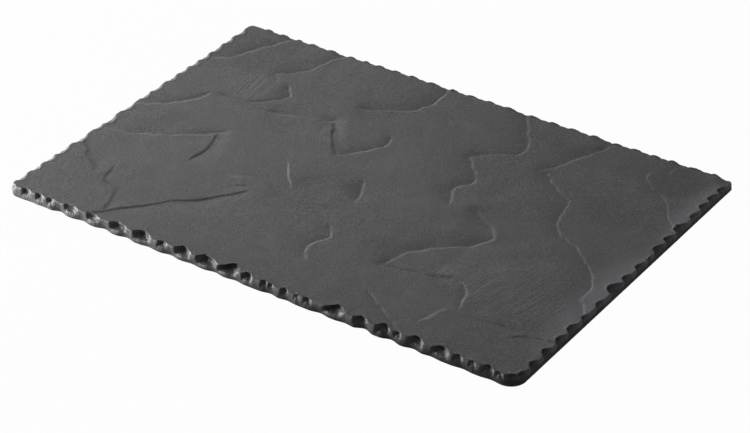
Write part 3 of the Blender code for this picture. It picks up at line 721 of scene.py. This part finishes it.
class PlateMesh:
    """The slab's fine mesh: cleft top, chipped rim and flat underside."""

    def __init__(self, sizes):
        low, high = (Vector(corner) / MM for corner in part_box("plate_body"))
        self.size = high - low
        self.base = Vector(((low.x + high.x) / 2.0, (low.y + high.y) / 2.0, low.z))
        thickness = sizes.thickness / MM
        spacing = sizes.spacing / MM
        outline = Outline(self.size.x, self.size.y, [radius / MM for radius in sizes.corner_radii])
        rim = RimShape(outline)
        self.outwards = rim.outwards
        self.count = rim.count
        self.rings, self.chipped = rim.rings(thickness)
        # Painted shade: darkest in the middle of the hollows and on the lower lip, set by side and ring
        hollows = self.chipped ** HOLLOW_FOCUS * self.fade(HOLLOW_FADE) * rim.along_sides(PAINTED_HOLLOW_SHADE)
        self.shade = np.maximum(hollows, self.fade(LIP_FADE) * rim.along_sides(PAINTED_LIP_SHADE))
        # Painted highlight on the lit ridges of the right side and the lit facets of the left side
        rim_highlight = blend(rim.along_sides(RIDGE_HIGHLIGHT), rim.along_sides(FACET_HIGHLIGHT), self.chipped)
        inner = self.rings[0][:, :2]
        sole = self.rings[-1][:, :2]
        coarse = grid_spots(self.size, spacing)
        fine = grid_spots(self.size, sizes.ledge_spacing / MM)
        grid = np.vstack((coarse[~by_ledges(coarse)], fine[by_ledges(fine)]))
        self.top = inside_ring(grid, inner, self.outwards, TOP_CLEARANCE * spacing)
        self.bottom = inside_ring(
            grid_spots(self.size, BOTTOM_SPACING), sole, self.outwards, BOTTOM_CLEARANCE)
        self.first_top = len(self.rings) * self.count
        self.first_bottom = self.first_top + len(self.top)
        heights, top_highlight = top_relief(self.top, thickness)
        self.painted_highlight = np.concatenate(((self.fade(HIGHLIGHT_FADE) * rim_highlight).ravel(), top_highlight))
        self.corners = np.vstack((
            self.rings.reshape(-1, 3),
            np.column_stack((self.top, heights)),
            np.column_stack((self.bottom, np.zeros(len(self.bottom)))),
        ))
        self.upper_faces = self.rim_faces() + self.cap(inner, self.top, 0, self.first_top)
        sole_faces = self.cap(sole, self.bottom, self.first_top - self.count, self.first_bottom)
        self.lower_faces = [face[::-1] for face in sole_faces]

    def fade(self, knots):
        """A share for each ring, from the shares of a few."""
        rings, shares = zip(*knots)
        return np.interp(range(len(self.rings)), rings, shares)[:, None]

    def rim_faces(self):
        """Quads between neighbouring rings."""
        faces = []
        for upper in range(0, self.first_top - self.count, self.count):
            lower = upper + self.count
            for index in range(self.count):
                after = (index + 1) % self.count
                faces.append((upper + after, upper + index, lower + index, lower + after))
        return faces

    def cap(self, ring, spots, first_ring, first_spot):
        """Triangles of a cap, by index into all the corners."""
        starts = np.concatenate((np.arange(self.count) + first_ring, np.arange(len(spots)) + first_spot))
        return [starts[list(face)].tolist() for face in cap_faces(ring, spots)]

    def unrolled(self):
        """Plan of the corners with the rim folded out flat."""
        flat = self.corners[:, :2].copy()
        steps = np.linalg.norm(np.diff(self.rings, axis=0), axis=2)
        reach = np.cumsum(steps, axis=0)
        skirt = self.rings[0][:, :2] + self.outwards * reach[..., None]
        flat[self.count:self.first_top] = skirt.reshape(-1, 2)
        return flat

    def map_onto(self, mesh):
        """Adds the map for baking: the top and rim as one island, and the underside as another."""
        span = self.size.x + 2.0 * SKIRT
        half = np.array((self.size.x, self.size.y)) / 2.0
        upper = (self.unrolled() + half + SKIRT) / span
        lower = (self.corners[:, :2] + half) * SOLE_SCALE / span + SOLE_PLACE
        places = np.zeros(len(mesh.loops), dtype=np.int32)
        mesh.loops.foreach_get("vertex_index", places)
        first_lower = sum(len(face) for face in self.upper_faces)
        spots = np.vstack((upper[places[:first_lower]], lower[places[first_lower:]]))
        layer = mesh.uv_layers.new(name="OFBake")
        layer.uv.foreach_set("vector", spots.ravel().astype(np.float32))

    def build(self):
        """The Blender mesh, with its chipping, painted shade and painted highlight at each corner."""
        mesh = bpy.data.meshes.new("plate_surface")
        corners = (self.corners + np.array(self.base)) * MM
        mesh.from_pydata(corners.tolist(), [], self.upper_faces + self.lower_faces)
        mesh.shade_smooth()
        self.map_onto(mesh)
        layers = {
            "chipped": self.chipped.ravel(),
            # hollow holds the painted shade of the hollows and of the lower lip
            "hollow": self.shade.ravel(),
            "painted_highlight": self.painted_highlight,
        }
        for name, values in layers.items():
            spread = np.zeros(len(self.corners), dtype=np.float32)
            spread[:len(values)] = values
            mesh.attributes.new(name, "FLOAT", "POINT").data.foreach_set("value", spread)
        return mesh


def opaque(colour):
    """A colour with full alpha."""
    return (*colour, 1.0)


class Socket:
    """An output socket of a shader node, whose sums and products add Math nodes."""

    def __init__(self, tree, output):
        self.tree = tree
        self.output = output

    def node(self, kind, settings=None, inputs=None, output=0):
        """Adds a node of any kind with its settings and inputs, and returns one of its outputs."""
        node = self.tree.nodes.new(kind)
        for name, value in (settings or {}).items():
            setattr(node, name, value)
        for name, value in (inputs or {}).items():
            if isinstance(value, Socket):
                self.tree.links.new(value.output, node.inputs[name])
            else:
                node.inputs[name].default_value = value
        return Socket(self.tree, node.outputs[output])

    def math(self, operation, left, right):
        """Adds a Math node."""
        return self.node("ShaderNodeMath", {"operation": operation}, {0: left, 1: right})

    def vector(self, operation, other):
        """Adds a Vector Math node."""
        return self.node("ShaderNodeVectorMath", {"operation": operation}, {0: self, 1: other})

    def mix(self, low, high):
        """A colour between two, by this value. A Mix node has its colours at the sockets 6, 7 and 2."""
        return self.node("ShaderNodeMix", {"data_type": "RGBA"}, {0: self, 6: low, 7: high}, 2)

    def noise(self, scale, detail):
        """A Noise texture at this place."""
        return self.node("ShaderNodeTexNoise", None, {"Vector": self, "Scale": scale, "Detail": detail})

    def attribute(self, name):
        """A value that the mesh holds at each of its corners."""
        return self.node("ShaderNodeAttribute", {"attribute_name": name}, None, "Fac")

    def between(self, low, high):
        """Eased 0 to 1 as this value goes from low to high."""
        settings = {"interpolation_type": "SMOOTHSTEP"}
        return self.node("ShaderNodeMapRange", settings, {"Value": self, "From Min": low, "From Max": high})

    def feed(self, shader, name):
        """Links this value to a shader's input."""
        self.tree.links.new(self.output, shader.inputs[name])

    def emboss(self, shader):
        """Shades a surface as if it stood out by this value in millimetres."""
        bump = self.node("ShaderNodeBump", None, {"Height": self, "Strength": 1.0, "Distance": MM})
        bump.feed(shader, "Normal")

    def vary(self, shader, low, high, roughness, height):
        """Varies a finish by this pattern: colour, roughness as a start and a spread, and height."""
        start, spread = roughness
        self.mix(opaque(low), opaque(high)).feed(shader, "Base Color")
        (start + spread * self).feed(shader, "Roughness")
        (height * self).emboss(shader)

    def __add__(self, other):
        return self.math("ADD", self, other)

    def __radd__(self, other):
        return self.math("ADD", other, self)

    def __sub__(self, other):
        return self.math("SUBTRACT", self, other)

    def __rsub__(self, other):
        return self.math("SUBTRACT", other, self)

    def __mul__(self, other):
        return self.math("MULTIPLY", self, other)

    def __rmul__(self, other):
        return self.math("MULTIPLY", other, self)


def new_material(name):
    """A node material, its shader, and the place on the piece in millimetres."""
    material = bpy.data.materials.new(name)
    material.use_nodes = True
    tree = material.node_tree
    shader = tree.nodes["Principled BSDF"]
    coordinates = tree.nodes.new("ShaderNodeTexCoord")
    place = Socket(tree, coordinates.outputs["Object"]).vector("MULTIPLY", (1.0 / MM, 1.0 / MM, 1.0 / MM))
    return material, shader, place


def patches(place, ellipses):
    """Sum of soft ellipses, given by their middles, half sizes and strengths."""
    mask = 0.0
    for x, y, half_x, half_y, strength in ellipses:
        offset = place.vector("SUBTRACT", (x, y, 0.0))
        scaled = offset.vector("MULTIPLY", (1.0 / half_x, 1.0 / half_y, 0.0))
        away = scaled.node("ShaderNodeVectorMath", {"operation": "LENGTH"}, {0: scaled}, "Value")
        mask = mask + strength * (1.0 - away.between(PATCH_CORE, 1.0))
    return mask


def ceramic_material(finish):
    """Satin black ceramic: mottled, grainy, striated in places, rough where chipped; painted shade, sheen
    and highlights.
    """
    material, shader, place = new_material("black_ceramic")
    chipped, hollow, painted_highlight = (place.attribute(name) for name in ("chipped", "hollow", "painted_highlight"))
    mottle = place.noise(*MOTTLE)
    grain = place.noise(*GRAIN)
    fine = place.noise(*FINE_GRAIN)
    smudge = place.vector("MULTIPLY", SMUDGE_GRAINS).noise(1.0, SMUDGE_DETAIL).between(*SMUDGE_LEVELS)
    speck = place.noise(*SPECKS).between(*SPECK_LEVELS)
    x, y = (place.node("ShaderNodeSeparateXYZ", None, {"Vector": place}, axis) for axis in "XY")
    fanned = {"X": STREAKS_ACROSS * x * (1.0 - STREAK_FAN * y), "Y": STREAKS_ALONG * y}
    streaks = place.node("ShaderNodeCombineXYZ", None, fanned).noise(1.0, STREAK_DETAIL)
    striated = patches(place, STRIATIONS)
    pale = FINE_PALE * fine + GRAIN_PALE * grain + MOTTLE_PALE * mottle + SMUDGE_PALE * smudge - PALE_START
    # Patches of painted light and painted shade are added to the paling
    pale = pale + STREAK_PALE * striated * (streaks - NOISE_MIDDLE) + patches(place, PAINTED_LIGHT_AND_SHADE)
    colour = pale.mix(opaque(finish.ceramic), opaque(finish.ceramic_pale))
    # Painted sheen along the right side and painted highlight on lit edges and risers
    colour = (patches(place, PAINTED_SHEEN) + HIGHLIGHT_PALE * painted_highlight).mix(colour, opaque(finish.ceramic_painted_sheen))
    # Painted shade: the hollows and the lower lip are darkened
    colour = hollow.mix(colour, opaque(finish.ceramic_painted_shade))
    speck.mix(colour, opaque(finish.speck)).feed(shader, "Base Color")
    (finish.roughness + MOTTLE_ROUGHNESS * (mottle - NOISE_MIDDLE)).feed(shader, "Roughness")
    height = FINE_HEIGHT * fine + GRAIN_HEIGHT * grain + STREAK_HEIGHT * striated * streaks
    (height + BREAK_HEIGHT * chipped * place.noise(*BREAKS)).emboss(shader)
    return material


def silicone_material(finish):
    """Soft matt silicone with a fine moulded grain."""
    material, shader, place = new_material("silicone")
    grain = place.noise(*SILICONE_GRAIN)
    pale = [channel * SILICONE_PALE for channel in finish.silicone]
    grain.vary(shader, finish.silicone, pale, SILICONE_ROUGHNESS, SILICONE_HEIGHT)
    return material


def adhesive_material(finish):
    """Pale foam of the double-sided discs."""
    material, shader, place = new_material("adhesive")
    cells = place.node("ShaderNodeTexVoronoi", None, {"Vector": place, "Scale": FOAM_CELLS})
    shade = [channel * FOAM_SHADE for channel in finish.adhesive]
    cells.vary(shader, shade, finish.adhesive, FOAM_ROUGHNESS, FOAM_HEIGHT)
    return material


def add_piece(name, mesh, material, node):
    """A shown piece that rides on the plate and stands for a CAD node."""
    piece = bpy.data.objects.new(name, mesh)
    bpy.context.scene.collection.objects.link(piece)
    mesh.materials.append(material)
    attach(piece, BODY)
    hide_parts(node)


def turned_mesh(name, profile, sides):
    """A mesh turned from a half section that runs from its axis at the top to its axis at the bottom."""
    shape = bmesh.new()
    corners = [shape.verts.new((x, 0.0, z)) for x, z in profile]
    edges = [shape.edges.new(pair) for pair in zip(corners, corners[1:])]
    bmesh.ops.spin(
        shape, geom=corners + edges, cent=(0, 0, 0), axis=(0, 0, 1), angle=2.0 * math.pi, steps=sides)
    bmesh.ops.remove_doubles(shape, verts=shape.verts, dist=WELD)
    bmesh.ops.recalc_face_normals(shape, faces=shape.faces)
    mesh = bpy.data.meshes.new(name)
    shape.to_mesh(mesh)
    shape.free()
    mesh.shade_smooth()
    mesh.set_sharp_from_angle(angle=SHARP_ANGLE)
    return mesh


def arc(centre, radii, start, end, count):
    """Points on an arc of an ellipse between two angles in degrees."""
    x, z = centre
    across, up = radii
    angles = np.radians(np.linspace(start, end, count))
    return [(x + across * math.cos(angle), z + up * math.sin(angle)) for angle in angles]


def foot_profile(radius, height, sizes):
    """Half section of a foot: flat top, tapered side, rounded edge and dished sole."""
    rounding = sizes.foot_round
    edge = FOOT_EDGE * rounding
    taper = FOOT_TAPER * radius
    top = arc((radius - edge, height - edge), (edge, edge), 90.0, 0.0, EDGE_POINTS)
    bottom = arc((radius - taper - rounding, rounding), (rounding, rounding), 0.0, -90.0, ROUND_POINTS)
    dish = arc((0.0, 0.0), (DISH_REACH * radius, sizes.foot_dish), 0.0, 90.0, DISH_POINTS)
    return [(0.0, height), *top, *bottom, *dish[:-1], (0.0, sizes.foot_dish)]


def adhesive_profile(radius, height):
    """Half section of a bonding disc, squeezed out a little at half its height."""
    bulge = BULGE * height
    side = arc((radius - bulge, height / 2.0), (bulge, height / 2.0), 90.0, -90.0, BULGE_POINTS)
    return [(0.0, height), *side, (0.0, 0.0)]


def centre_on(mesh, low, high, bottom):
    """Moves a turned mesh to the axis of a box and stands it at a height."""
    mesh.transform(Matrix.Translation(((low.x + high.x) / 2.0, (low.y + high.y) / 2.0, bottom)))


class SLATE_OT_plate(bpy.types.Operator):
    """Builds the slab's surface"""

    bl_idname = "slate.plate"
    bl_label = "Plate"

    def execute(self, context):
        mesh = PlateMesh(context.scene.plate_sizes).build()
        material = ceramic_material(context.scene.plate_finish)
        add_piece("plate_surface", mesh, material, "plate_body")
        return {"FINISHED"}


class SLATE_OT_feet(bpy.types.Operator):
    """Builds the silicone feet"""

    bl_idname = "slate.feet"
    bl_label = "Feet"

    def execute(self, context):
        sizes = context.scene.plate_sizes
        material = silicone_material(context.scene.plate_finish)
        for corner in CORNERS:
            low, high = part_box(f"foot_{corner}")
            radius = (high.x - low.x) / 2.0
            profile = foot_profile(radius, high.z - low.z, sizes)
            mesh = turned_mesh(f"bumper_{corner}", profile, sizes.foot_sides)
            centre_on(mesh, low, high, low.z)
            add_piece(f"bumper_{corner}", mesh, material, f"foot_{corner}")
        return {"FINISHED"}


class SLATE_OT_adhesive(bpy.types.Operator):
    """Builds the discs that bond the feet"""

    bl_idname = "slate.adhesive"
    bl_label = "Adhesive discs"

    def execute(self, context):
        sizes = context.scene.plate_sizes
        material = adhesive_material(context.scene.plate_finish)
        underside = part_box("plate_body")[0].z
        for corner in CORNERS:
            low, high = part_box(f"adhesive_{corner}")
            foot_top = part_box(f"foot_{corner}")[1].z
            radius = (high.x - low.x) / 2.0
            profile = adhesive_profile(radius, underside - foot_top)
            mesh = turned_mesh(f"bond_{corner}", profile, sizes.foot_sides)
            centre_on(mesh, low, high, foot_top)
            add_piece(f"bond_{corner}", mesh, material, f"adhesive_{corner}")
        return {"FINISHED"}


def add_area(name, place, size, power):
    """An area light that points at the plate's middle."""
    light = bpy.data.lights.new(name, "AREA")
    light.shape = "RECTANGLE"
    light.size, light.size_y = size
    light.energy = power
    lamp = bpy.data.objects.new(name, light)
    lamp.location = place
    lamp.rotation_euler = (-place).to_track_quat("-Z", "Y").to_euler()
    bpy.context.scene.collection.objects.link(lamp)


def direction(azimuth, elevation):
    """Unit vector at an azimuth, from the back to the right, and an elevation, in degrees."""
    turn = math.radians(azimuth)
    rise = math.radians(elevation)
    return Vector((math.sin(turn) * math.cos(rise), math.cos(turn) * math.cos(rise), math.sin(rise)))


def seen_white(tree, straight, mirrored):
    """A share for rays from the camera, and another for rays from gloss and glass."""
    path = tree.nodes.new("ShaderNodeLightPath")
    camera, glossy, through = (
        Socket(tree, path.outputs[f"Is {kind} Ray"]) for kind in ("Camera", "Glossy", "Transmission"))
    return straight * camera + mirrored * (glossy + through)


def add_floor(scene):
    """A pale floor that keeps the plate's shadow."""
    floor = bpy.data.meshes.new("floor")
    shape = bmesh.new()
    bmesh.ops.create_grid(shape, size=FLOOR_SIDE / 2.0)
    shape.to_mesh(floor)
    shape.free()
    stand = bpy.data.objects.new("floor", floor)
    scene.collection.objects.link(stand)
    material, shader, place = new_material("floor")
    shader.inputs["Base Color"].default_value = FLOOR_COLOUR
    shader.inputs["Roughness"].default_value = 1.0
    shader.inputs["Specular IOR Level"].default_value = 0.0
    tree = place.tree
    white = place.node("ShaderNodeEmission", None, {"Color": WHITE, "Strength": 1.0})
    plain = Socket(tree, shader.outputs[0])
    share = seen_white(tree, FLOOR_WHITE, FLOOR_GLOSS)
    mixed = place.node("ShaderNodeMixShader", None, {0: share, 1: plain, 2: white})
    mixed.feed(tree.nodes["Material Output"], "Surface")
    floor.materials.append(material)


def add_world(scene, ambient):
    """A white backdrop that lights the plate only faintly."""
    world = bpy.data.worlds.new("studio")
    world.use_nodes = True
    scene.world = world
    background = world.node_tree.nodes["Background"]
    background.inputs["Color"].default_value = WHITE
    strength = ambient + seen_white(world.node_tree, 1.0 - ambient, WORLD_GLOSS)
    strength.feed(background, "Strength")


def add_camera(scene, settings):
    """The camera at the photograph's place."""
    camera = bpy.data.cameras.new("camera")
    camera.sensor_width = SENSOR_WIDTH
    camera.lens = settings.focal * SENSOR_WIDTH / IMAGE_WIDTH
    view = bpy.data.objects.new("camera", camera)
    scene.collection.objects.link(view)
    back = direction(180.0 - math.degrees(settings.azimuth), math.degrees(settings.elevation))
    aim = Vector((settings.aim_x, settings.aim_y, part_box("plate_body")[0].z))
    turn = back.to_track_quat("Z", "Y").to_matrix() @ Matrix.Rotation(settings.roll, 3, "Z")
    view.matrix_world = Matrix.Translation(aim + back * settings.distance) @ turn.to_4x4()
    scene.camera = view


class SLATE_OT_stage(bpy.types.Operator):
    """Builds the floor, the light and the camera"""

    bl_idname = "slate.stage"
    bl_label = "Stage"

    def execute(self, context):
        scene = context.scene
        settings = scene.stage_settings
        scene.view_settings.view_transform = "Standard"
        add_floor(scene)
        add_world(scene, settings.ambient)
        for name, azimuth, elevation, distance, size, radiance in LIGHTS:
            power = radiance * math.pi * size[0] * size[1]
            add_area(name, direction(azimuth, elevation) * distance, size, power)
        add_camera(scene, settings)
        return {"FINISHED"}


class SLATE_PT_panel(bpy.types.Panel):
    """Lists the plate's pieces"""

    bl_idname = "SLATE_PT_panel"
    bl_label = "Slate plate"
    bl_space_type = "VIEW_3D"
    bl_region_type = "UI"
    bl_category = "Plate"

    def draw(self, context):
        for operator in OPERATORS:
            self.layout.operator(operator.bl_idname)


OPERATORS = (SLATE_OT_plate, SLATE_OT_feet, SLATE_OT_adhesive, SLATE_OT_stage)
GROUPS = {"plate_sizes": PlateSizes, "plate_finish": PlateFinish, "stage_settings": StageSettings}


def register():
    """Adds the add-on's classes and settings."""
    for group in GROUPS.values():
        bpy.utils.register_class(group)
    for name, group in GROUPS.items():
        setattr(bpy.types.Scene, name, PointerProperty(type=group))
    for cls in (*OPERATORS, SLATE_PT_panel):
        bpy.utils.register_class(cls)


def unregister():
    """Takes them away again."""
    for cls in (SLATE_PT_panel, *reversed(OPERATORS)):
        bpy.utils.unregister_class(cls)
    for name, group in GROUPS.items():
        delattr(bpy.types.Scene, name)
        bpy.utils.unregister_class(group)


def main():
    """Builds everything in order."""
    register()
    bpy.ops.slate.plate()
    bpy.ops.slate.feet()
    bpy.ops.slate.adhesive()
    bpy.ops.slate.stage()


if __name__ == "__main__":
    main()
